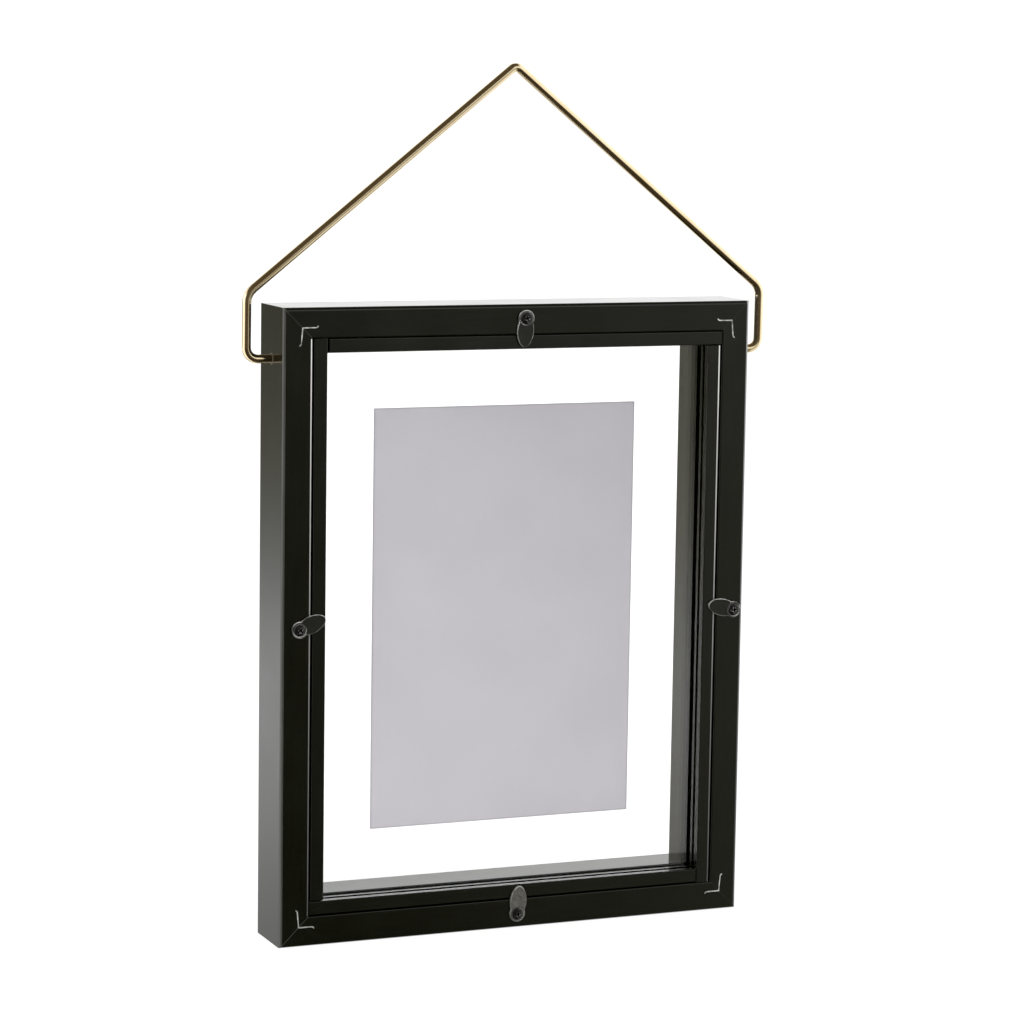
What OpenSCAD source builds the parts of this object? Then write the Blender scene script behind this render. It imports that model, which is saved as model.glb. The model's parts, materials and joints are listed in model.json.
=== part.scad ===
// Hanging double-glass frame: mitred rails, two loose panes with a print
// between them, four retaining strips, four turn buttons and a swinging
// wire hanger.  Millimetres, +Z up.  The front looks along -Y, the back
// along +Y.  The origin is the middle of the bottom face.
// Left and right are as seen from the front (right = +X).

/* [Frame] */
// Overall width of the wooden frame
frame_w = 178; // [150:1:260]
// Overall height of the wooden frame
frame_h = 225; // [200:1:340]
// Depth of the frame, front face to back face
frame_d = 25; // [23:0.5:32]
// Width of a rail at the front, outer edge to sight edge
lip_w = 16.6; // [16.4:0.1:20]
// Width of a rail at the back, outer edge to the rebate wall
back_w = 10.6; // [10.2:0.1:10.8]
// Radius on the long outer edges of a rail
edge_r = 1.2; // [0.4:0.1:1.5]
// Radius on the sight edge and on the edge of the rebate
inner_r = 0.4; // [0.2:0.1:0.6]

/* [Glazing] */
// Thickness of one glass pane
pane_t = 2.0; // [1.5:0.1:2.5]
// Gap between a pane and the rebate wall, each side
pane_gap = 0.4; // [0.2:0.1:1]
// Width of the print
insert_w = 100; // [80:1:110]
// Height of the print
insert_h = 150; // [100:1:160]
// Thickness of the print
insert_t = 0.25; // [0.1:0.05:0.4]
// Sideways place of the print from the centre line
insert_dx = 3.0; // [-4:0.5:4]
// Height of the print above the centre of the frame
insert_dz = 1.3; // [-4:0.1:4]

/* [Retaining strips] */
// Width of a strip across its back face
strip_w = 4.8; // [4.4:0.1:4.9]
// Thickness of a strip, glass to back face of the frame
strip_t = 5.6; // [5:0.1:6]
// Gap between a side strip and the rebate wall
strip_gap = 0.8; // [0.4:0.1:0.9]
// Gap between the bottom strip and the rebate wall
strip_bottom_gap = 0.5; // [0.2:0.1:0.9]
// Gap between the top strip and the rebate wall
strip_top_gap = 0.3; // [0.1:0.1:0.8]
// Thickness of the part of a strip behind its groove
strip_back_t = 2.7; // [2.3:0.1:3]
// Width of the groove along the inner side of a strip
groove_w = 1.3; // [0.8:0.1:1.5]
// Depth of that groove
groove_deep = 0.8; // [0.3:0.1:1.2]
// How far the foot of a strip stands further in than its back part
foot_out = 0.2; // [0.1:0.1:0.4]

/* [Hanger] */
// Diameter of the hanger wire
wire_d = 3.2; // [2.4:0.1:3.2]
// Height of the hanger pivots below the top face
pivot_drop = 18.5; // [18:0.5:30]
// Distance of a vertical leg outside the side face, to its centre
leg_out = 9.5; // [8:0.1:14]
// Height of the upper bend above the pivot
leg_rise = 22.5; // [22:0.5:40]
// Height of the apex above the pivot, where the straight lines would meet
apex_rise = 101.7; // [80:0.1:150]
// Centre-line radius of the bend above each foot
bend_r = 4.0; // [3.4:0.1:5]
// Centre-line radius of the bend between a leg and the slanting wire
knee_r = 6.0; // [4:0.5:8]
// Centre-line radius of the bend at the apex
apex_r = 2.6; // [2.2:0.1:5]
// Lean of the hanger at rest, backwards from upright
hanger_lean = 1.0; // [0:0.5:5]
// Sideways place of the hanger within the play of its feet
hanger_dx = -0.35; // [-0.5:0.05:0.5]
// Length of wire inside each side hole
foot_in = 8.0; // [6:0.5:9]
// Radial clearance of the wire in its hole
pivot_clear = 0.08; // [0.03:0.01:0.1]

/* [Turn buttons] */
// Screw axis to tip of a turn button
button_len = 10.2; // [9.5:0.1:11.4]
// Diameter of the round end around the screw
button_head_d = 5.9; // [5.8:0.1:6.4]
// Half width of the oval blade
blade_half = 3.1; // [2.8:0.05:3.5]
// Thickness of the sheet
plate_t = 0.9; // [0.7:0.05:1.1]
// Running gap under the button and under the screw head
run_gap = 0.05; // [0.03:0.01:0.1]
// Top button: screw below the top face
top_in = 4.9; // [4:0.1:5]
// Bottom button: screw above the bottom face
bottom_in = 5.2; // [4:0.1:6]
// Right-hand button: screw in from the side face
right_in = 6.4; // [4:0.1:6.4]
// Left-hand button: screw in from the side face
left_in = 4.1; // [3.6:0.1:5]
// Height of the right screw above the middle of the frame
right_up = 0.5; // [-1:0.1:1]
// Height of the left screw above the middle of the frame
left_up = -0.3; // [-1:0.1:1]
// Sideways place of the top and bottom screws
screw_dx = -1.0; // [-3:0.5:3]
// Direction of the top button's tip, from +X towards +Z
top_dir = -86.5; // [-120:0.5:-60]
// Direction of the bottom button's tip
bottom_dir = 94.5; // [60:0.5:120]
// Direction of the right-hand button's tip
right_dir = 158; // [140:0.5:220]
// Direction of the left-hand button's tip
left_dir = 12.5; // [-40:0.5:40]

/* [Fasteners] */
// Shank diameter of a button screw
shank_d = 2.4; // [2:0.1:2.6]
// Head diameter of a button screw
head_d = 4.3; // [4:0.1:4.6]
// Height of the screw head
head_h = 1.3; // [1:0.1:1.6]
// Length of the shank inside the wood
shank_in = 9.0; // [6:0.5:11]
// Length of a corner nail's leg along the top or bottom rail
nail_flat = 4.8; // [4.5:0.1:6]
// Length of its leg along the side rail
nail_side = 5.4; // [4.5:0.1:6.4]
// Sheet thickness of a corner nail
nail_t = 0.4; // [0.35:0.05:0.6]
// Length of a corner nail driven into the wood
nail_deep = 7.0; // [5:0.5:8]
// Corner nail's apex, in from both outer faces
nail_in = 7.0; // [6.6:0.1:7.2]
// Angle of the leg along the top or bottom rail from the mitre line
nail_flat_a = 45.5; // [45:0.5:52]
// Angle of the leg along the side rail from the mitre line
nail_side_a = 50; // [45:0.5:52]

/* [Hidden] */
$fn = 64;
cut_over = 1;    // how far a cut runs past the surface it opens

half_w = frame_w / 2;
mid_z = frame_h / 2;
back_y = frame_d / 2;
front_y = -back_y;

// front faces of the layers in the rebate, from back to front
strip_y = back_y - strip_t;
back_pane_y = strip_y - pane_t;
insert_y = back_pane_y - insert_t;
lip_y = insert_y - pane_t;    // the front pane lies on the lip

pivot_z = frame_h - pivot_drop;
straight_thin = 0.03;    // straight wire is this much less in radius than the bends

// turn buttons: [x, z, direction of the tip]
top_button = [screw_dx, frame_h - top_in, top_dir];
bottom_button = [screw_dx, bottom_in, bottom_dir];
right_button = [half_w - right_in, mid_z + right_up, right_dir];
left_button = [-half_w + left_in, mid_z + left_up, left_dir];

lacquer = [0.085, 0.085, 0.08];
clear_glass = [0.80, 0.90, 0.88, 0.25];
print_grey = [0.77, 0.76, 0.78];
strip_black = [0.11, 0.11, 0.105];
nail_steel = [0.74, 0.75, 0.76];
gunmetal = [0.16, 0.16, 0.155];
screw_black = [0.13, 0.13, 0.125];
brass = [0.72, 0.58, 0.34];

// ---------- placing ----------
// side: -1 left, 1 right.  level: -1 bottom, 1 top.

// Turns a part drawn along X, inner side up, to run along a side of the
// frame, its outer side `inset` in from the side face
module along_side(side, inset = 0)
    translate([side * (half_w - inset), 0, mid_z])
        rotate([0, -90 * side, 0]) children();

// The same along the bottom or the top
module along_level(level, inset = 0)
    translate([0, 0, level > 0 ? frame_h - inset : inset])
        rotate([0, level > 0 ? 180 : 0, 0]) children();

// Puts a thing drawn on z = 0 onto the back face, at a button's place
module on_back(button)
    translate([button[0], back_y, button[1]])
        rotate([0, -button[2], 0]) rotate([-90, 0, 0]) children();

// ---------- rails ----------

pilot_extra = 1.5;    // pilot hole beyond the screw tip
wire_hole_extra = 1;  // side hole beyond the end of the wire
mitre_margin = 2;     // mitring prism beyond the rail

// Waste at a square corner that leaves a quarter round of radius r.
// (dir_x, dir_y) points from the corner into the material.
module corner_waste(x, y, dir_x, dir_y, r)
    translate([x, y]) difference() {
        translate([dir_x > 0 ? -cut_over : -r, dir_y > 0 ? -cut_over : -r])
            square([r + cut_over, r + cut_over]);
        translate([dir_x * r, dir_y * r]) circle(r);
    }

// Section of a rail: x runs inwards from the outer face, y is front to back
module rail_section() difference() {
    union() {
        translate([0, front_y]) square([lip_w, lip_y - front_y]);
        translate([0, front_y]) square([back_w, frame_d]);
    }
    corner_waste(0, front_y, 1, 1, edge_r);
    corner_waste(0, back_y, 1, -1, edge_r);
    corner_waste(lip_w, front_y, -1, 1, inner_r);
    corner_waste(back_w, back_y, -1, -1, inner_r);
}

// A rail along X whose outer face lies on z = 0, cut at 45 degrees at
// both ends
module mitred_rail(length) {
    end_x = length / 2;
    reach = lip_w + mitre_margin;
    intersection() {
        translate([end_x, 0, 0]) rotate([0, -90, 0])
            linear_extrude(height = length) rail_section();
        rotate([90, 0, 0])
            linear_extrude(height = frame_d + 2 * mitre_margin, center = true)
                polygon([[-end_x, 0], [end_x, 0], [end_x - reach, reach], [reach - end_x, reach]]);
    }
}

module pilot(button)
    translate([button[0], back_y + cut_over, button[1]]) rotate([90, 0, 0])
        cylinder(d = shank_d, h = shank_in + pilot_extra + cut_over);

module wire_hole(side)
    translate([side * (half_w + cut_over), 0, pivot_z]) rotate([0, -90 * side, 0])
        cylinder(d = wire_d - 2 * straight_thin + 2 * pivot_clear,
                 h = foot_in + wire_hole_extra + cut_over);

module level_rail(level, button) difference() {
    along_level(level) mitred_rail(frame_w);
    for (side = [-1, 1]) corner_nail(side, level);
    pilot(button);
}

module side_rail(side, button) difference() {
    along_side(side) mitred_rail(frame_h);
    for (level = [-1, 1]) corner_nail(side, level);
    pilot(button);
    wire_hole(side);
}

module rail_top() color(lacquer) level_rail(1, top_button);
module rail_bottom() color(lacquer) level_rail(-1, bottom_button);
module rail_left() color(lacquer) side_rail(-1, left_button);
module rail_right() color(lacquer) side_rail(1, right_button);

// ---------- glazing ----------

module pane(y) {
    inset = back_w + pane_gap;
    translate([inset - half_w, y, inset])
        cube([frame_w - 2 * inset, pane_t, frame_h - 2 * inset]);
}

module glass_front() color(clear_glass) pane(lip_y);
module glass_back() color(clear_glass) pane(back_pane_y);

module photo_insert() color(print_grey)
    translate([insert_dx - insert_w / 2, insert_y, mid_z + insert_dz - insert_h / 2])
        cube([insert_w, insert_t, insert_h]);

// ---------- retaining strips ----------

strip_outer_r = 0.35;      // back edge on the outer side
strip_inner_r = 0.3;       // back edge on the inner side
strip_butt_gap = 0.15;     // between a strip's end and the strip it butts on
top_butt_gap = 0.5;        // the same for the top strip
level_end_gap = 0.3;       // other end to the rebate wall, top and bottom strips
side_end_gap = 0.2;        // the same for the side strips

// outer sides of the strips, in from the outer faces of the frame
side_strip_in = back_w + strip_gap;
bottom_strip_in = back_w + strip_bottom_gap;
top_strip_in = back_w + strip_top_gap;

// Section of a strip: x runs inwards from its outer side, y from the
// glass to the back.  A groove runs along the inner side.
module strip_section() {
    groove_back = strip_t - strip_back_t;
    difference() {
        square([strip_w + foot_out, strip_t]);
        translate([strip_w, groove_back])
            square([foot_out + cut_over, strip_back_t + cut_over]);
        translate([strip_w - groove_deep, groove_back - groove_w])
            square([groove_deep + foot_out + cut_over, groove_w]);
        corner_waste(0, strip_t, 1, -1, strip_outer_r);
        corner_waste(strip_w, strip_t, -1, -1, strip_inner_r);
    }
}

// A strip along X, its outer side on z = 0, inner side up.  Its -X end
// butts on a strip lying `butt_in` in from the frame's outer face, its
// +X end stops short of the rebate wall.
module strip(frame_size, butt_in, butt_gap, end_gap) {
    start_x = butt_in + strip_w + foot_out + butt_gap - frame_size / 2;
    end_x = frame_size / 2 - back_w - end_gap;
    translate([end_x, strip_y, 0]) rotate([0, -90, 0])
        linear_extrude(height = end_x - start_x) strip_section();
}

// The four strips lie head to tail round the opening, each one butting
// against the side of the next
module strip_bottom() color(strip_black)
    along_level(-1, bottom_strip_in)
        strip(frame_w, side_strip_in, strip_butt_gap, level_end_gap);

module strip_top() color(strip_black)
    along_level(1, top_strip_in)
        strip(frame_w, side_strip_in, top_butt_gap, level_end_gap);

module strip_right() color(strip_black)
    along_side(1, side_strip_in)
        strip(frame_h, bottom_strip_in, strip_butt_gap, side_end_gap);

module strip_left() color(strip_black)
    along_side(-1, side_strip_in)
        strip(frame_h, top_strip_in, strip_butt_gap, side_end_gap);

// ---------- corner nails ----------

nail_proud = 0.1;    // nail standing out of the back face
curl_r = 0.95;       // centre-line radius of the turned ends
curl_stop = 20;      // the turned end stops this many degrees short of square
curl_lap = 0.01;     // overlap of the turned end and the leg
wedge = 4;           // size of the wedge that cuts out the turned end

// One leg of a corner nail, along +x, with its end turned towards +y
module nail_leg(length) {
    translate([0, -nail_t / 2]) square([length, nail_t]);
    translate([length - curl_lap, curl_r]) intersection() {
        difference() {
            circle(curl_r + nail_t / 2);
            circle(curl_r - nail_t / 2);
        }
        polygon([[0, 0], [0, -wedge], [wedge, -wedge],
                 [wedge * cos(curl_stop), -wedge * sin(curl_stop)]]);
    }
}

// Section of a nail, apex at the origin and mitre line along +x.  Each leg
// is [angle from the mitre line, length]; the first lies towards +y.
module nail_section(first, second) {
    circle(d = nail_t);
    rotate(first[0]) nail_leg(first[1]);
    mirror([0, 1]) rotate(second[0]) nail_leg(second[1]);
}

// The apex points at the corner of the frame and the legs run along the
// two rails
module corner_nail(side, level) {
    flat_leg = [nail_flat_a, nail_flat];
    side_leg = [nail_side_a, nail_side];
    flat_first = side * level < 0;
    translate([side * (half_w - nail_in), back_y + nail_proud,
               mid_z + level * (mid_z - nail_in)])
        rotate([90, 0, 0]) rotate([0, 0, atan2(-level, -side)])
            linear_extrude(height = nail_deep + nail_proud)
                nail_section(flat_first ? flat_leg : side_leg,
                             flat_first ? side_leg : flat_leg);
}

module corner_v_nails() color(nail_steel)
    for (side = [-1, 1], level = [-1, 1]) corner_nail(side, level);

// ---------- turn buttons and their screws ----------
// Heights are measured from the back face.

seat_deep = 0.3;                           // sinking for the screw head
seat_z = run_gap + plate_t - seat_deep;
head_z = seat_z + run_gap;                 // underside of the screw head
seat_clear = 0.5;                          // on the head diameter
shank_clear = 0.1;                         // on the shank diameter
round_end_dx = 0.1;                        // round end's centre off the screw axis
blade_long = 5.3;                          // half length of the blade
blade_taper = 0.08;
blade_steps = 72;

// The blade is an oval a little narrower towards the tip.  Where it meets
// the round end there is a slight waist.
blade_outline = [for (i = [0 : blade_steps - 1]) let (angle = 360 * i / blade_steps)
    [button_len - blade_long + blade_long * cos(angle),
     blade_half * sin(angle) * (1 - blade_taper * cos(angle))]];

// Button over the plane z = 0, screw axis at the origin, tip along +x
module button_plate() difference() {
    translate([0, 0, run_gap]) linear_extrude(height = plate_t) union() {
        translate([round_end_dx, 0]) circle(d = button_head_d);
        polygon(blade_outline);
    }
    translate([0, 0, -cut_over]) cylinder(d = shank_d + shank_clear, h = 4);
    translate([0, 0, seat_z]) cylinder(d = head_d + seat_clear, h = 2);
}

module turn_button_top() color(gunmetal) on_back(top_button) button_plate();
module turn_button_bottom() color(gunmetal) on_back(bottom_button) button_plate();
module turn_button_right() color(gunmetal) on_back(right_button) button_plate();
module turn_button_left() color(gunmetal) on_back(left_button) button_plate();

screw_tip_h = 1.5;
screw_tip_d = 0.3;
head_lap = 0.1;          // shank running into the head
crown = 0.7 / 1.3 * head_h;    // height of the domed part of the head
dome_r = (pow(head_d / 2, 2) + crown * crown) / (2 * crown);
// cross recess: two slots and a round centre
slot_len = 2.5;
slot_w = 0.62;
slot_deep = 0.85;
slot_turn = 20;          // from the button's own axes
recess_d = 1.15;
recess_deep = 0.95;
recess_cut_h = 2;        // height of the cutting shapes

// Pan-head wood screw with a cross recess, axis along z
module button_screw() {
    head_top = head_z + head_h;
    difference() {
        union() {
            translate([0, 0, head_z]) rotate_extrude() intersection() {
                square([head_d / 2, head_h]);
                translate([0, head_h - dome_r]) circle(dome_r, $fn = 128);
            }
            translate([0, 0, screw_tip_h - shank_in])
                cylinder(d = shank_d, h = shank_in - screw_tip_h + head_z + head_lap);
            translate([0, 0, -shank_in])
                cylinder(d1 = screw_tip_d, d2 = shank_d, h = screw_tip_h);
        }
        for (angle = [0, 90]) rotate(angle + slot_turn)
            translate([-slot_len / 2, -slot_w / 2, head_top - slot_deep])
                cube([slot_len, slot_w, recess_cut_h]);
        translate([0, 0, head_top - recess_deep]) cylinder(d = recess_d, h = recess_cut_h);
    }
}

module button_screws() color(screw_black)
    for (button = [top_button, bottom_button, right_button, left_button])
        on_back(button) button_screw();

// ---------- hanger ----------
// Drawn in the XZ plane with the pivot axis at z = 0; points are [x, z].

wire_lap = 0.3;    // straight wire running into a bend
leg_x = half_w + leg_out;
slant = atan2(apex_rise - leg_rise, leg_x);    // slanting wire from horizontal
knee = [leg_x, leg_rise];
peak = [0, apex_rise];
up_slant = [-cos(slant), sin(slant)];
// from where the straight lines would meet to where the bend starts
knee_tangent = knee_r * tan((90 - slant) / 2);
apex_tangent = apex_r * tan(slant);

// A straight length of wire.  It is a hair thinner than the bends and runs
// a little way into them, so each joint has a clean small step.
module wire(start, end, start_lap = wire_lap) {
    length = norm(end - start);
    along = (end - start) / length;
    first = start - start_lap * along;
    translate([first[0], 0, first[1]]) rotate([0, atan2(along[0], along[1]), 0])
        cylinder(r = wire_d / 2 - straight_thin, h = length + start_lap + wire_lap);
}

// Bend of centre-line radius r, from start_angle through sweep
module bend(centre, r, start_angle, sweep)
    translate([centre[0], 0, centre[1]]) rotate([90, 0, 0])
        rotate([0, 0, start_angle]) rotate_extrude(angle = sweep)
            translate([r, 0]) circle(d = wire_d);

// Everything on the right of the apex bend, foot first
module hanger_side() {
    leg_top = leg_rise - knee_tangent;
    wire([half_w - foot_in, 0], [leg_x - bend_r, 0], start_lap = 0);
    bend([leg_x - bend_r, bend_r], bend_r, -90, 90);
    wire([leg_x, bend_r], [leg_x, leg_top]);
    bend([leg_x - knee_r, leg_top], knee_r, 0, 90 - slant);
    wire(knee + knee_tangent * up_slant, peak - apex_tangent * up_slant);
}

module hanger_wire() color(brass)
    translate([hanger_dx, 0, pivot_z]) rotate([-hanger_lean, 0, 0]) {
        hanger_side();
        mirror([1, 0, 0]) hanger_side();
        bend([0, apex_rise - apex_r / cos(slant)], apex_r, 90 - slant, 2 * slant);
    }

rail_top();
rail_bottom();
rail_left();
rail_right();
strip_top();
strip_bottom();
strip_left();
strip_right();
glass_front();
glass_back();
photo_insert();
corner_v_nails();
button_screws();
turn_button_top();
turn_button_bottom();
turn_button_left();
turn_button_right();
hanger_wire();
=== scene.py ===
"""Looks for the hanging double-glass frame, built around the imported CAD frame.

The frame stands upright on z = 0, centred on x = 0.  Its back, with the turn
buttons and their screws, faces +y, where the camera stands.  Geometry is in
metres; shader positions and sizes are in millimetres.
"""

import json
import math

import bmesh
import bpy
from mathutils import Matrix, Vector


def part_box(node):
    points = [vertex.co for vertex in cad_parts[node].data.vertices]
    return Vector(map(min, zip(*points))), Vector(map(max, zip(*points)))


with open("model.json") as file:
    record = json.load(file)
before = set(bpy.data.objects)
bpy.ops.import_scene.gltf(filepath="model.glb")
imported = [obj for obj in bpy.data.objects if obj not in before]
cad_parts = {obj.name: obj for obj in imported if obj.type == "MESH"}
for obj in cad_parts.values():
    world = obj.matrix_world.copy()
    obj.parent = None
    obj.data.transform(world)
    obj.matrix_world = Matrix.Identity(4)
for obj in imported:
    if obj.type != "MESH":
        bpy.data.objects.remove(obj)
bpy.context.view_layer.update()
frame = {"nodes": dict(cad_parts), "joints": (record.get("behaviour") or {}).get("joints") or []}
nodes = frame["nodes"]
scene = bpy.context.scene


def joint(name):
    """Place of a CAD joint, in metres."""
    return next(j["pos_m"] for j in frame["joints"] if j["name"] == name)


# Driving dimensions of the shaders, in millimetres.
MM = 1000.0
rail_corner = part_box("rail_top")[1]
SIDE = MM * rail_corner.x
BACK = MM * rail_corner.y
TOP = MM * rail_corner.z
MIDDLE = TOP / 2
OPENING_X = SIDE - 10.6
OPENING_INSET_Z = 10.9
HOLE_Z = MM * joint("hanger_swing")[2]
ARRIS_DEPTH = 0.42
PAPER_RIM = 0.42
RECESS_RADIUS = 1.35
RECESS_DEPTH = 0.12

# Edge breaks and rounded shading, in metres.
BUTTON_BREAK = 0.00013
SCREW_BREAK = 0.00007
GLASS_BREAK = 0.00025
RUB_RADIUS = 0.00040
ROUND_RADIUS = 0.00025

# Linear colours.
RAIL_BLACK = (0.0015, 0.0023, 0.0004)
STRIP_BLACK = (0.0017, 0.0025, 0.0006)
WHITE = (1.0, 1.0, 1.0)


# ------------------------------------------------------------------ node helpers


def scaled(colour, factor):
    return tuple(c * factor for c in colour)


class Tree:
    """Short cuts for building a node tree; they take and return sockets."""

    def __init__(self, tree):
        self.tree = tree
        tree.nodes.clear()

    def put(self, socket, value):
        """Link a socket or set a value; a colour gets its alpha here."""
        if isinstance(value, bpy.types.NodeSocket):
            self.tree.links.new(value, socket)
        elif isinstance(value, tuple):
            socket.default_value = (*value, 1.0)
        else:
            socket.default_value = value

    def add(self, kind, inputs=None, **settings):
        node = self.tree.nodes.new("ShaderNode" + kind)
        for name, value in settings.items():
            setattr(node, name, value)
        for key, value in (inputs or {}).items():
            self.put(node.inputs[key], value)
        return node

    def math(self, op, *values):
        return self.add("Math", dict(enumerate(values)), operation=op).outputs[0]

    def times(self, product, *factors):
        for factor in factors:
            product = self.math("MULTIPLY", product, factor)
        return product

    def total(self, *parts, base=None):
        """Sum of (value, weight) parts on top of base."""
        for value, weight in parts:
            if base is None:
                base = self.times(value, weight)
            else:
                base = self.math("MULTIPLY_ADD", value, weight, base)
        return base

    def fade(self, amount, start, end):
        return self.total((self.minus(end, start), amount), base=start)

    def minus(self, a, b):
        return self.math("SUBTRACT", a, b)

    def larger(self, a, b):
        return self.math("MAXIMUM", a, b)

    def size(self, value):
        return self.math("ABSOLUTE", value)

    def above(self, value, limit):
        return self.math("GREATER_THAN", value, limit)

    def below(self, value, limit):
        return self.math("LESS_THAN", value, limit)

    def between(self, value, low, high):
        return self.times(self.above(value, low), self.below(value, high))

    def span(self, value, source, to=(0.0, 1.0)):
        """Clamped straight-line map from the source range to another."""
        inputs = dict(enumerate((value, *source, *to)))
        return self.add("MapRange", inputs, clamp=True).outputs[0]

    def ramp(self, value, stops):
        """Colour ramp through (position, colour) stops."""
        node = self.add("ValToRGB", {0: value})
        elements = node.color_ramp.elements
        while len(elements) > 1:
            elements.remove(elements[-1])
        for i, (position, colour) in enumerate(stops):
            element = elements[0] if i == 0 else elements.new(position)
            element.position = position
            element.color = (*colour, 1.0)
        return node.outputs[0]

    def curve(self, value, stops):
        """Piecewise-linear curve through (position, level) stops."""
        first, last = stops[0][0], stops[-1][0]
        top = max(level for _, level in stops)
        grey = [((p - first) / (last - first), (level / top,) * 3) for p, level in stops]
        return self.times(self.ramp(self.span(value, (first, last)), grey), top)

    def mix(self, amount, a, b):
        return self.add("Mix", {0: amount, 6: a, 7: b}, data_type="RGBA").outputs[2]

    def pick(self, amount, a, b):
        return self.add("Mix", {0: amount, 2: a, 3: b}, data_type="FLOAT").outputs[0]

    def two_tone(self, pattern, dark, light):
        """Colour that follows the middle range of a noise."""
        return self.mix(self.span(pattern, (0.3, 0.7)), dark, light)

    def shade(self, amount, a, b):
        return self.add("MixShader", {0: amount, 1: a, 2: b}).outputs[0]

    def where(self, stretch=(1, 1, 1)):
        """Object coordinates in millimetres, squeezed per axis."""
        coord = self.add("TexCoord").outputs["Object"]
        mapping = self.add("Mapping", {"Vector": coord})
        mapping.inputs["Scale"].default_value = [MM / s for s in stretch]
        return mapping.outputs["Vector"]

    def position(self):
        """Object x, y and z in millimetres."""
        return self.add("SeparateXYZ", {0: self.where()}).outputs

    def facing(self):
        """The true normal's x, y and z."""
        normal = self.add("NewGeometry").outputs["True Normal"]
        return self.add("SeparateXYZ", {0: normal}).outputs

    def noise(self, vector, size, seed, detail=2.0, rough=0.5):
        """Noise whose blobs are about size millimetres across."""
        inputs = {"Vector": vector, "W": seed, "Scale": 1.0 / size,
                  "Detail": detail, "Roughness": rough}
        return self.add("TexNoise", inputs, noise_dimensions="4D").outputs["Fac"]

    def specks(self, vector, cell, radius, keep, seed):
        """Mask of scattered dots: one place per cell mm, radius mm, a share kept."""
        inputs = {"Vector": vector, "W": seed, "Scale": 1.0 / cell}
        cells = self.add("TexVoronoi", inputs, voronoi_dimensions="4D")
        dot = self.below(cells.outputs["Distance"], radius / cell)
        split = self.add("SeparateColor", {0: cells.outputs["Color"]})
        return self.times(dot, self.below(split.outputs[0], keep))

    def bump(self, height, strength, distance, normal=None):
        inputs = {"Strength": strength, "Distance": distance, "Height": height}
        if normal is not None:
            inputs["Normal"] = normal
        return self.add("Bump", inputs).outputs["Normal"]

    def rounded(self, radius):
        """Normal rounded over sharp edges, radius in metres."""
        return self.add("Bevel", {"Radius": radius}, samples=6).outputs[0]

    def edges(self, radius):
        """1 near sharp edges and 0 on flat ground; also the rounded normal's z."""
        rounded = self.rounded(radius)
        normal = self.add("NewGeometry").outputs["Normal"]
        dot = self.add("VectorMath", {0: rounded, 1: normal}, operation="DOT_PRODUCT")
        split = self.add("SeparateXYZ", {0: rounded})
        return self.span(dot.outputs["Value"], (0.995, 0.88)), split.outputs[2]

    def principled(self, **inputs):
        named = {key.replace("_", " "): value for key, value in inputs.items()}
        return self.add("BsdfPrincipled", named).outputs[0]

    def finish(self, shader, kind="OutputMaterial"):
        self.add(kind, {0: shader})


def material(name):
    mat = bpy.data.materials.new(name)
    mat.use_nodes = True
    return mat, Tree(mat.node_tree)


# ------------------------------------------------------------------ lacquer


def lacquer(name, along, seed, base=RAIL_BLACK, rough=0.17, marks=None):
    """Black satin lacquer over a wood moulding that runs along one axis."""
    mat, t = material(name)
    stretch = tuple(26.0 if axis == along else 1.0 for axis in "xyz")
    fibre = t.noise(t.where(stretch), size=0.55, detail=3.0, rough=0.6, seed=seed)
    plain = t.where()
    cloud = t.noise(plain, size=18.0, seed=seed + 3)
    peel = t.noise(plain, size=1.1, seed=seed + 7)
    grit = t.noise(plain, size=0.16, rough=0.6, seed=seed + 11)
    dust = t.specks(plain, cell=5.0, radius=0.12, keep=0.40, seed=seed + 17)
    tone = t.total((cloud, 0.5), (fibre, 0.5))
    colour = t.two_tone(tone, dark=scaled(base, 0.62), light=scaled(base, 1.45))
    colour = t.mix(t.times(dust, 0.6), colour, (0.13, 0.125, 0.11))
    # Each pattern sways the roughness evenly about its mean.
    sway = ((fibre, 0.07), (cloud, 0.08), (grit, 0.05))
    rough = t.total(*[(t.minus(p, 0.5), amount) for p, amount in sway], base=rough)
    height = t.total((peel, 0.8), (fibre, 0.55), (grit, 0.12), (dust, 0.8))
    if marks is not None:
        colour, rough = marks(t, colour, rough, fibre, cloud)
    normal = t.bump(height, strength=0.09, distance=0.00002)
    t.finish(t.principled(Base_Color=colour, Roughness=rough, IOR=1.5, Normal=normal))
    return mat


def painted_arris_highlight(t, z, cloud):
    """Painted highlight on an arris, standing in for light in the gap, fading towards the
    bottom.
    """
    # (share of the frame's height, level)
    stops = [(0.0, 0.03), (0.13, 0.07), (0.27, 0.09), (0.40, 0.13),
             (0.53, 0.21), (0.70, 0.33), (0.80, 0.42), (0.90, 0.55)]
    warm = [(share, (level, level * 0.985, level * 0.95)) for share, level in stops]
    level = t.ramp(t.span(z, (0.0, TOP)), warm)
    stain = t.span(cloud, (0.2, 0.9), to=(0.0, 0.3))
    return t.mix(stain, level, (0.02, 0.02, 0.018))


def back_arris(t, x, y, start, width):
    """Mask of an upright arris at the back, starting at x = start."""
    return t.times(t.between(x, start - 0.05, start + width), t.above(y, BACK - ARRIS_DEPTH))


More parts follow.
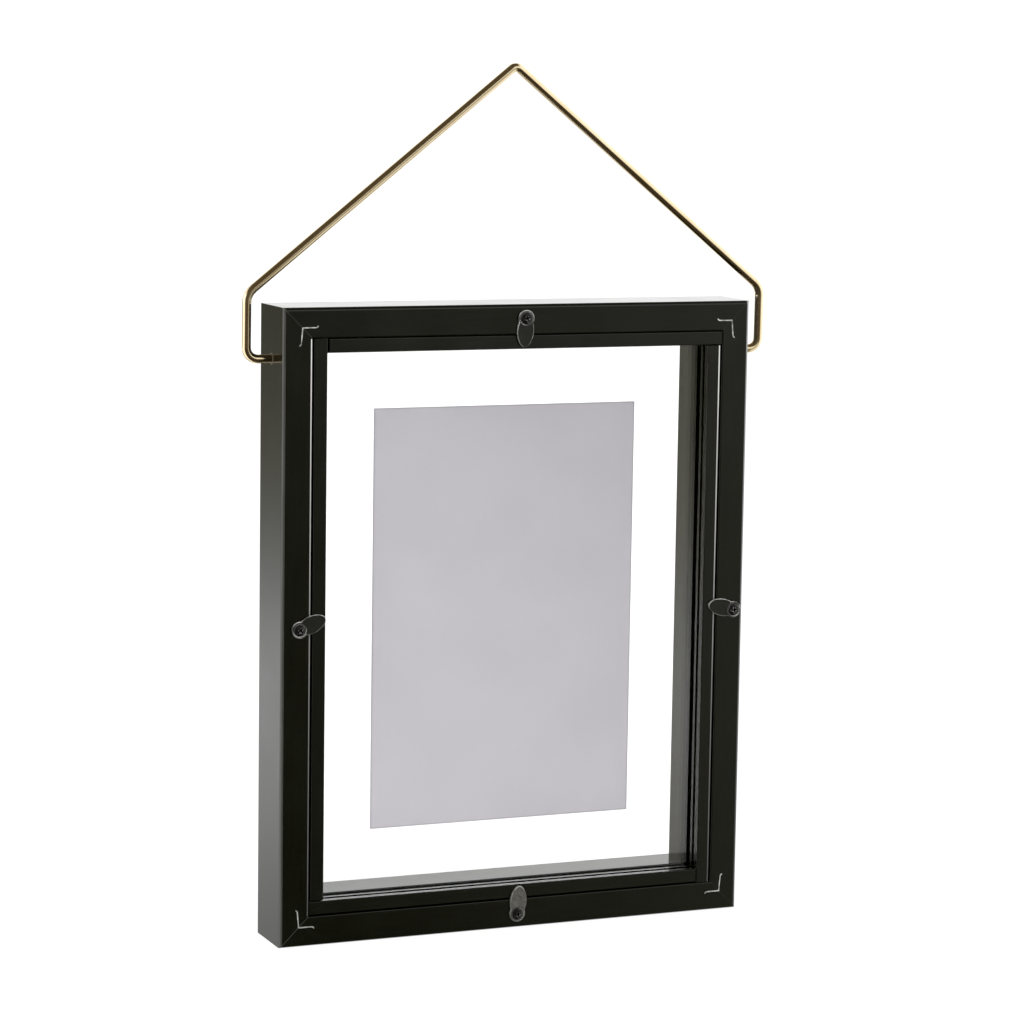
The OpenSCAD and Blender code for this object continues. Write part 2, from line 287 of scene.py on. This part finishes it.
def rail_marks(t, colour, rough, fibre, cloud):
    """The mitre's hairline, worn edges with a painted highlight, a painted highlight round the
    hanger holes and on the arris beside the opening.
    """
    x, y, z = t.position()
    face_x, face_y, _ = t.facing()
    from_side = t.minus(SIDE, t.size(x))
    from_end = t.minus(MIDDLE, t.size(t.minus(z, MIDDLE)))

    # Mitre: a 45 degree line on the front and back faces, stronger towards +x.
    seam = t.times(
        t.below(t.size(t.minus(from_side, from_end)), 0.18),
        t.above(t.size(face_y), 0.7),
        t.span(cloud, (0.35, 0.62), to=(0.2, 1.0)),
        t.span(x, (-80.0, 80.0), to=(0.30, 1.0)),
        0.85,
    )
    colour = t.mix(seam, colour, (0.040, 0.039, 0.034))

    # Hanger holes: a painted highlight ring on the hole's rim on each outer side.
    rise = t.minus(z, HOLE_Z)
    reach = t.math("SQRT", t.total((y, y), (rise, rise)))
    hole_rim_highlight = t.times(
        t.between(reach, 1.5, 2.05),
        t.above(t.size(face_x), 0.7),
        t.above(t.size(x), SIDE - 0.5),
    )
    colour = t.mix(t.times(hole_rim_highlight, 0.8), colour, (0.10, 0.092, 0.075))

    # Outer edges: worn where the face turns, within 1 mm of the side, and lighter there as a
    # painted edge highlight.
    wear_and_highlight = t.times(
        t.between(t.size(face_y), 0.15, 0.985),
        t.below(from_side, 1.0),
        t.span(fibre, (0.2, 0.7), to=(0.45, 1.0)),
    )
    colour = t.mix(wear_and_highlight, colour, (0.046, 0.046, 0.041))

    # Painted highlight: the back edge on the -x side is paler, the more so higher up.
    edge_highlight = t.times(wear_and_highlight, t.below(x, 1.25 - SIDE), t.above(face_y, 0.1))
    highlight_level = t.span(z, (30.0, TOP), to=(0.02, 0.24))
    channels = {i: t.times(highlight_level, share) for i, share in enumerate((1.0, 0.96, 1.0))}
    colour = t.mix(edge_highlight, colour, t.add("CombineColor", channels).outputs[0])

    # Painted highlight: the opening's back arris on the +x side is pale, fading towards the
    # bottom.
    opening = t.between(z, OPENING_INSET_Z, TOP - OPENING_INSET_Z)
    arris = t.times(back_arris(t, x, y, start=OPENING_X, width=0.55), opening)
    colour = t.mix(arris, colour, painted_arris_highlight(t, z, cloud))
    return colour, t.larger(rough, t.times(t.larger(arris, hole_rim_highlight), 0.6))


def strip_marks(t, colour, rough, fibre, cloud):
    """Painted highlight on the outer back arris of the left-hand (-x) strip."""
    x, y, z = t.position()
    arris = back_arris(t, x, y, start=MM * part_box("strip_left")[0].x, width=0.60)
    colour = t.mix(arris, colour, painted_arris_highlight(t, z, cloud))
    return colour, t.larger(rough, t.times(arris, 0.6))


# ------------------------------------------------------------------ glass and paper


def clear_glass():
    """Float glass: clear faces, green ground edges, a little dust."""
    mat, t = material("clear_glass")
    plain = t.where()
    edge = t.below(t.size(t.facing()["Y"]), 0.5)
    cloud = t.noise(plain, size=30.0, detail=3.0, rough=0.6, seed=1.0)
    smear = t.span(cloud, (0.45, 0.75), to=(0.0, 0.012))
    grind = t.noise(plain, size=0.25, rough=0.6, seed=5.0)
    body = t.principled(
        Base_Color=t.mix(edge, WHITE, (0.55, 0.78, 0.70)),
        Roughness=t.total((edge, 0.30), base=smear),
        IOR=1.5,
        Transmission_Weight=1.0,
        Normal=t.bump(t.times(grind, edge), strength=0.06, distance=0.00003),
    )
    dust = t.specks(plain, cell=5.0, radius=0.10, keep=0.30, seed=21.0)
    mote = t.add("BsdfDiffuse", {0: (0.55, 0.54, 0.52)}).outputs[0]
    seen = t.shade(t.times(dust, 0.5), body, mote)
    # Shadow and diffuse rays pass straight through.
    clear = t.add("BsdfTransparent", {0: (0.965, 0.972, 0.968)}).outputs[0]
    path = t.add("LightPath").outputs
    soft = t.larger(path["Is Shadow Ray"], path["Is Diffuse Ray"])
    t.finish(t.shade(soft, seen, clear))
    return mat


def print_paper():
    """Matt print sheet, light grey, a little light coming through it."""
    mat, t = material("print_paper")
    plain = t.where()
    fibre = t.noise(plain, size=0.35, detail=4.0, rough=0.65, seed=2.0)
    cloud = t.noise(plain, size=26.0, detail=3.0, rough=0.55, seed=6.0)
    tone = t.total((fibre, 0.3), (cloud, 0.7))
    colour = t.two_tone(tone, dark=(0.440, 0.420, 0.452), light=(0.472, 0.452, 0.486))

    def in_rim(place, low, high):
        """Mask of the sheet's margin along one axis; low and high in metres."""
        off = t.size(t.minus(place, MM / 2 * (low + high)))
        return t.above(off, MM / 2 * (high - low) - PAPER_RIM)

    # Painted light: brighter towards the foot and +x, and a painted shadow darkens the rim.
    height = t.position()[2]
    across = t.position()[0]
    low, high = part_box("photo_insert")
    rim_shadow = t.larger(in_rim(across, low.x, high.x), in_rim(height, low.z, high.z))
    level = t.times(
        t.span(height, (40.0, 185.0), to=(1.09, 0.93)),
        t.span(across, (-45.0, 45.0), to=(0.965, 1.055)),
        t.total((rim_shadow, -0.22), base=1.0),
    )
    painted_light_colour = t.add("VectorMath", {0: colour, "Scale": level}, operation="SCALE")
    normal = t.bump(fibre, strength=0.15, distance=0.00005)
    sheet = {0: painted_light_colour.outputs[0], "Normal": normal}
    front = t.add("BsdfDiffuse", sheet).outputs[0]
    through = t.add("BsdfTranslucent", sheet).outputs[0]
    t.finish(t.shade(0.30, front, through))
    return mat


# ------------------------------------------------------------------ metals


def brass():
    """Bright brass wire with a few tarnish spots."""
    mat, t = material("brass_wire")
    plain = t.where()
    cloud = t.noise(plain, size=7.0, detail=3.0, rough=0.6, seed=1.0)
    fine = t.noise(plain, size=0.12, seed=4.0)
    spots = t.specks(plain, cell=2.2, radius=0.12, keep=0.25, seed=9.0)
    colour = t.two_tone(cloud, dark=(0.82, 0.66, 0.41), light=(0.90, 0.76, 0.52))
    t.finish(t.principled(
        Base_Color=t.mix(t.times(spots, 0.6), colour, (0.22, 0.14, 0.06)),
        Metallic=1.0,
        Roughness=t.total((cloud, 0.05), (fine, 0.03), base=0.10),
        Normal=t.bump(fine, strength=0.04, distance=0.00001),
    ))
    return mat


def dark_steel(name, base, rough, wear_and_highlight, seed, metal, grain=0.0, recess_shade=None, tip_highlight_z=None):
    """Blackened steel, bare where its edges rub, with a painted highlight on its rims and
    painted shade in its recesses.

    wear_and_highlight and grain are the strengths of the rubbed rims, which also carry a painted
    highlight, and of the dark rash, recess_shade makes a mask of recesses that get painted
    shade, and tip_highlight_z is the z of an upper end with a painted highlight.
    """
    mat, t = material(name)
    plain = t.where()
    cloud = t.noise(plain, size=1.6, detail=3.0, rough=0.6, seed=seed)
    fine = t.noise(plain, size=0.10, rough=0.6, seed=seed + 2)
    pits = t.specks(plain, cell=0.7, radius=0.09, keep=0.22, seed=seed + 5)

    # Rubbing comes in patches, and the rubbed rims also carry a painted highlight, stronger on
    # edges that face up, where the light falls.
    edge, rise = t.edges(RUB_RADIUS)
    patch = t.noise(plain, size=3.2, detail=1.0, seed=seed + 8)
    rub_and_highlight = t.times(
        edge,
        t.span(patch, (0.40, 0.56), to=(0.22, 1.0)),
        wear_and_highlight,
        t.span(rise, (-0.30, 0.35), to=(0.40, 1.35)),
    )
    rub_and_highlight = t.math("MINIMUM", rub_and_highlight, 1.0)
    # Painted highlight on the edges near the upper end.
    if tip_highlight_z is not None:
        tip_highlight = t.span(t.position()[2], (tip_highlight_z - 1.9, tip_highlight_z - 0.7), to=(0.0, 0.95))
        rub_and_highlight = t.larger(rub_and_highlight, t.times(edge, tip_highlight))

    colour = t.two_tone(cloud, dark=scaled(base, 0.8), light=scaled(base, 1.25))
    if grain:
        rash = t.noise(plain, size=0.42, rough=0.7, seed=seed + 13)
        rash = t.span(rash, (0.44, 0.60))
        colour = t.mix(t.times(rash, grain), colour, scaled(base, 0.25))
    colour = t.mix(rub_and_highlight, colour, (0.95, 0.94, 0.90))
    metallic = t.total((rub_and_highlight, -0.6 * metal), base=metal)
    specular = 0.5
    # Painted shade: the recesses go near black and lose their metal and much of their specular.
    if recess_shade is not None:
        painted_pit_shade = recess_shade(t)
        colour = t.mix(painted_pit_shade, colour, (0.0012, 0.0012, 0.001))
        metallic = t.times(metallic, t.minus(1.0, painted_pit_shade))
        specular = t.total((painted_pit_shade, -0.42), base=specular)
    height = t.minus(t.total((cloud, 0.6), (fine, 0.5)), pits)
    rounded = t.rounded(ROUND_RADIUS)
    t.finish(t.principled(
        Base_Color=colour,
        Metallic=metallic,
        Roughness=t.total((cloud, 0.12), base=rough - 0.06),
        Specular_IOR_Level=specular,
        Normal=t.bump(height, strength=0.20, distance=0.00003, normal=rounded),
    ))
    return mat


def screw_recesses(t):
    """Mask of the cross recesses in the four screw heads, where shade is painted."""
    x, y, z = t.position()
    nearest = None
    for name in ("top", "bottom", "left", "right"):
        place = joint("button_%s_turn" % name)
        across = t.minus(x, MM * place[0])
        rise = t.minus(z, MM * place[2])
        squared = t.total((rise, rise), (across, across))
        nearest = squared if nearest is None else t.math("MINIMUM", nearest, squared)
    inside = t.below(nearest, RECESS_RADIUS ** 2)
    deep = t.below(y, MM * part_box("button_screws")[1].y - RECESS_DEPTH)
    return t.times(inside, deep)


def bright_steel():
    """Patchy steel with fine scratches along x."""
    mat, t = material("nail_steel")
    cloud = t.noise(t.where(), size=1.8, rough=0.6, seed=3.0)
    scratch = t.noise(t.where((8, 1, 1)), size=0.12, rough=0.6, seed=8.0)
    t.finish(t.principled(
        Base_Color=t.two_tone(cloud, dark=(0.10, 0.10, 0.09), light=(0.74, 0.74, 0.72)),
        Metallic=0.45,
        Roughness=t.total((cloud, 0.2), base=0.30),
        Normal=t.bump(scratch, strength=0.25, distance=0.00004),
    ))
    return mat


# ------------------------------------------------------------------ dressing


def dress(name, mat):
    piece = nodes[name]
    if not piece.material_slots:
        piece.data.materials.append(mat)
    for slot in piece.material_slots:
        slot.link = "OBJECT"
        slot.material = mat


def soften(name, width):
    """Breaks the sharp edges of a CAD node with modifiers only."""
    piece = nodes[name]
    weld = piece.modifiers.new("weld", "WELD")
    weld.merge_threshold = 1e-6
    bevel = piece.modifiers.new("edge_break", "BEVEL")
    bevel.width = width
    bevel.segments = 2
    bevel.limit_method = "ANGLE"
    bevel.angle_limit = math.radians(38)
    bevel.use_clamp_overlap = True
    bevel.harden_normals = False


LOOKS = (
    (lacquer("lacquer_across", "x", seed=1.0, marks=rail_marks), "rail_top rail_bottom"),
    (lacquer("lacquer_upright", "z", seed=2.0, marks=rail_marks), "rail_left rail_right"),
    (lacquer("strip_across", "x", seed=5.0, base=STRIP_BLACK, rough=0.20),
     "strip_top strip_bottom"),
    (lacquer("strip_upright", "z", seed=6.0, base=STRIP_BLACK, rough=0.20, marks=strip_marks),
     "strip_left strip_right"),
    (clear_glass(), "glass_front glass_back"),
    (print_paper(), "photo_insert"),
    (brass(), "hanger_wire"),
    (dark_steel("gunmetal", base=(0.0125, 0.0130, 0.0095), rough=0.34, wear_and_highlight=0.90,
                seed=1.0, metal=0.45, grain=0.5),
     "turn_button_top turn_button_left turn_button_right"),
    # The bottom button is a paler copy of the gunmetal: its lighter face is a painted sheen for
    # the brighter reflection it shows.
    (dark_steel("gunmetal_lit", base=(0.100, 0.097, 0.082), rough=0.40, wear_and_highlight=0.38,
                seed=2.0, metal=0.30, grain=0.75,
                tip_highlight_z=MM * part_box("turn_button_bottom")[1].z),
     "turn_button_bottom"),
    (dark_steel("black_screw", base=(0.0045, 0.0046, 0.0040), rough=0.34, wear_and_highlight=0.42,
                seed=4.0, metal=0.45, recess_shade=screw_recesses),
     "button_screws"),
    (bright_steel(), "corner_v_nails"),
)
for look, names in LOOKS:
    for name in names.split():
        dress(name, look)

for side in ("top", "bottom", "left", "right"):
    soften("turn_button_" + side, BUTTON_BREAK)
soften("button_screws", SCREW_BREAK)
for name in ("glass_front", "glass_back"):
    soften(name, GLASS_BREAK)


# ------------------------------------------------------------------ studio


def pale_floor():
    """White floor, left out of mirrored views."""
    mat, t = material("pale_floor")
    path = t.add("LightPath").outputs
    grain = t.noise(t.where(), size=60.0, seed=0.0)
    colour = t.mix(grain, (0.87, 0.87, 0.87), (0.90, 0.90, 0.895))
    matt = t.principled(Base_Color=colour, Roughness=0.8)
    lit = t.add("Emission", {0: WHITE, 1: 1.06}).outputs[0]
    gone = t.add("BsdfTransparent").outputs[0]
    # The camera sees only a trace of the floor's own shadow.
    seen = t.shade(t.times(path["Is Camera Ray"], 0.80), matt, lit)
    t.finish(t.shade(t.above(path["Glossy Depth"], 0.5), seen, gone))
    return mat


def build_floor(half=6, z=-0.0001):
    mat = pale_floor()
    mesh = bpy.data.meshes.new("floor")
    bm = bmesh.new()
    corners = [(-half, -half, z), (half, -half, z), (half, half, z), (-half, half, z)]
    bm.faces.new([bm.verts.new(c) for c in corners])
    bm.to_mesh(mesh)
    bm.free()
    floor = bpy.data.objects.new("floor", mesh)
    scene.collection.objects.link(floor)
    mesh.materials.append(mat)


def near_level(w, dx, turn, tilt, ceiling):
    """Mirrored level on the camera's side (+y), by direction."""
    # Low rays are read further to +x, so they meet the dark sooner.
    low = w.span(tilt, (-20.0, 0.0), to=(-20.0, 0.0))
    across = w.minus(dx, w.times(w.math("ADD", low, 7.0), 0.004))
    raised = w.times(w.span(tilt, (5.0, 45.0)), w.span(dx, (0.0, 0.2), to=(0.0, 0.13)))
    # (x of the ray, level): bright at -x, dark from the middle on.
    level = w.curve(w.minus(across, raised), [
        (-1.2, 1.3), (-0.86, 1.35), (-0.72, 0.95), (-0.6, 0.6), (-0.5, 0.46),
        (-0.44, 0.36), (-0.40, 0.26), (-0.36, 0.18), (-0.32, 0.12), (-0.26, 0.085),
        (-0.1, 0.10), (1.2, 0.10),
    ])
    # The foot of the dark falls off towards +x.
    fall = w.times(w.span(tilt, (-5.0, -14.0), to=(0.0, 0.52)), w.span(dx, (-0.42, -0.32)))
    level = w.times(level, w.minus(1.0, fall))
    # Two glows at -x: one well below eye height, one from eye height up.
    low_glow = w.times(w.span(tilt, (-15.0, -26.0)), w.span(dx, (-0.43, -0.58), to=(0.0, 0.95)))
    level = w.larger(level, low_glow)
    high_glow = w.times(w.span(tilt, (-3.2, 2.0)), w.span(dx, (-0.10, -0.26), to=(0.0, 1.15)))
    level = w.larger(level, high_glow)
    # The +x wall is bright from about 65 degrees off +y, below the ceiling.
    wall = w.times(w.span(turn, (56.0, 74.0), to=(0.0, 1.45)), w.span(tilt, (46.0, 24.0)))
    level = w.larger(level, wall)
    return w.fade(w.span(tilt, (22.0, 40.0)), level, ceiling)


def far_level(w, turn, tilt, ceiling):
    """Mirrored level beyond the object (-y), by direction."""
    # (turn in degrees, level)
    level = w.curve(turn, [
        (-180, 1.0), (-120, 1.1), (-60, 1.1), (0, 1.0), (60, 1.5),
        (120, 1.6), (145, 0.0), (174, 0.0), (180, 1.0),
    ])
    crest = w.times(w.span(tilt, (-1.0, 3.0)), w.span(tilt, (30.0, 20.0)))
    level = w.times(level, w.total((crest, 0.42), base=1.0))
    # The gap from 145 to 174 degrees has its own profile: (tilt in degrees, level).
    profile = w.curve(tilt, [
        (-90, 0.5), (-20, 0.5), (-14.5, 0.65), (-12.5, 1.15), (-11.0, 1.5),
        (-10.0, 1.45), (-9.0, 0.85), (-8.0, 0.48), (-6.5, 0.28), (-4.0, 0.17),
        (0, 0.2), (12, 1.0), (90, 1.0),
    ])
    # (turn in degrees, share of the profile)
    share = w.curve(turn, [
        (-180, 0.0), (120, 0.0), (145, 0.76), (154.5, 0.76), (160.0, 1.0),
        (174, 1.0), (180, 0.0),
    ])
    level = w.total((profile, share), base=level)
    return w.fade(w.span(tilt, (34.0, 55.0)), level, ceiling)


def build_world():
    """The studio as the surfaces mirror it; plain soft white for all other rays."""
    world = bpy.data.worlds.new("studio")
    scene.world = world
    world.use_nodes = True
    world.cycles.sampling_method = "NONE"
    w = Tree(world.node_tree)
    ray = w.add("TexCoord").outputs["Generated"]
    dx, dy, dz = w.add("SeparateXYZ", {0: ray}).outputs
    # Degrees from +y towards +x, and degrees above the horizon.
    turn = w.math("DEGREES", w.math("ARCTAN2", dx, dy))
    tilt = w.math("DEGREES", w.math("ARCSINE", dz))
    # The ceiling is dark but for its -x end.
    ceiling = w.span(dx, (-0.44, -0.66), to=(0.085, 1.35))
    near = near_level(w, dx, turn, tilt, ceiling)
    far = far_level(w, turn, tilt, ceiling)
    level = w.fade(w.span(dy, (-0.05, -0.30)), near, far)

    direct_level, diffuse_level = 1.05, 1.7
    path = w.add("LightPath").outputs
    strength = w.pick(w.above(path["Glossy Depth"], 0.5), direct_level, level)
    strength = w.pick(w.above(path["Diffuse Depth"], 0.5), strength, diffuse_level)
    # Dim parts are warm, the darkest most of all.
    warm = w.mix(w.span(strength, (0.085, 0.13)), (1.0, 0.78, 0.50), (1.0, 0.95, 0.66))
    colour = w.mix(w.span(strength, (0.08, 0.75)), warm, WHITE)
    background = w.add("Background", {0: colour, 1: strength})
    w.finish(background.outputs[0], kind="OutputWorld")


# Camera: angles in radians, azimuth from -y towards +x; place in metres.
AZIMUTH, ELEVATION, ROLL = 2.7431667, 0.1334652, 0.0153022
CAMERA_PLACE = (0.47262, 1.12794, 0.31382)


def build_camera():
    data = bpy.data.cameras.new("camera")
    data.sensor_width = 36.0
    data.lens = 121.147383
    data.clip_start = 0.02
    data.clip_end = 60.0
    camera = bpy.data.objects.new("camera", data)
    scene.collection.objects.link(camera)
    level = math.cos(ELEVATION)
    back = Vector((
        math.sin(AZIMUTH) * level,
        -math.cos(AZIMUTH) * level,
        math.sin(ELEVATION),
    ))
    right = (-back).cross(Vector((0, 0, 1))).normalized()
    up = right.cross(-back)
    rolled_right = math.cos(ROLL) * right + math.sin(ROLL) * up
    rolled_up = -math.sin(ROLL) * right + math.cos(ROLL) * up
    pose = Matrix((rolled_right, rolled_up, back)).transposed().to_4x4()
    pose.translation = CAMERA_PLACE
    camera.matrix_world = pose
    scene.camera = camera


build_floor()
build_world()
build_camera()
scene.view_settings.view_transform = "Standard"
scene.view_settings.look = "None"
scene.view_settings.exposure = 0.0
scene.view_settings.gamma = 1.0
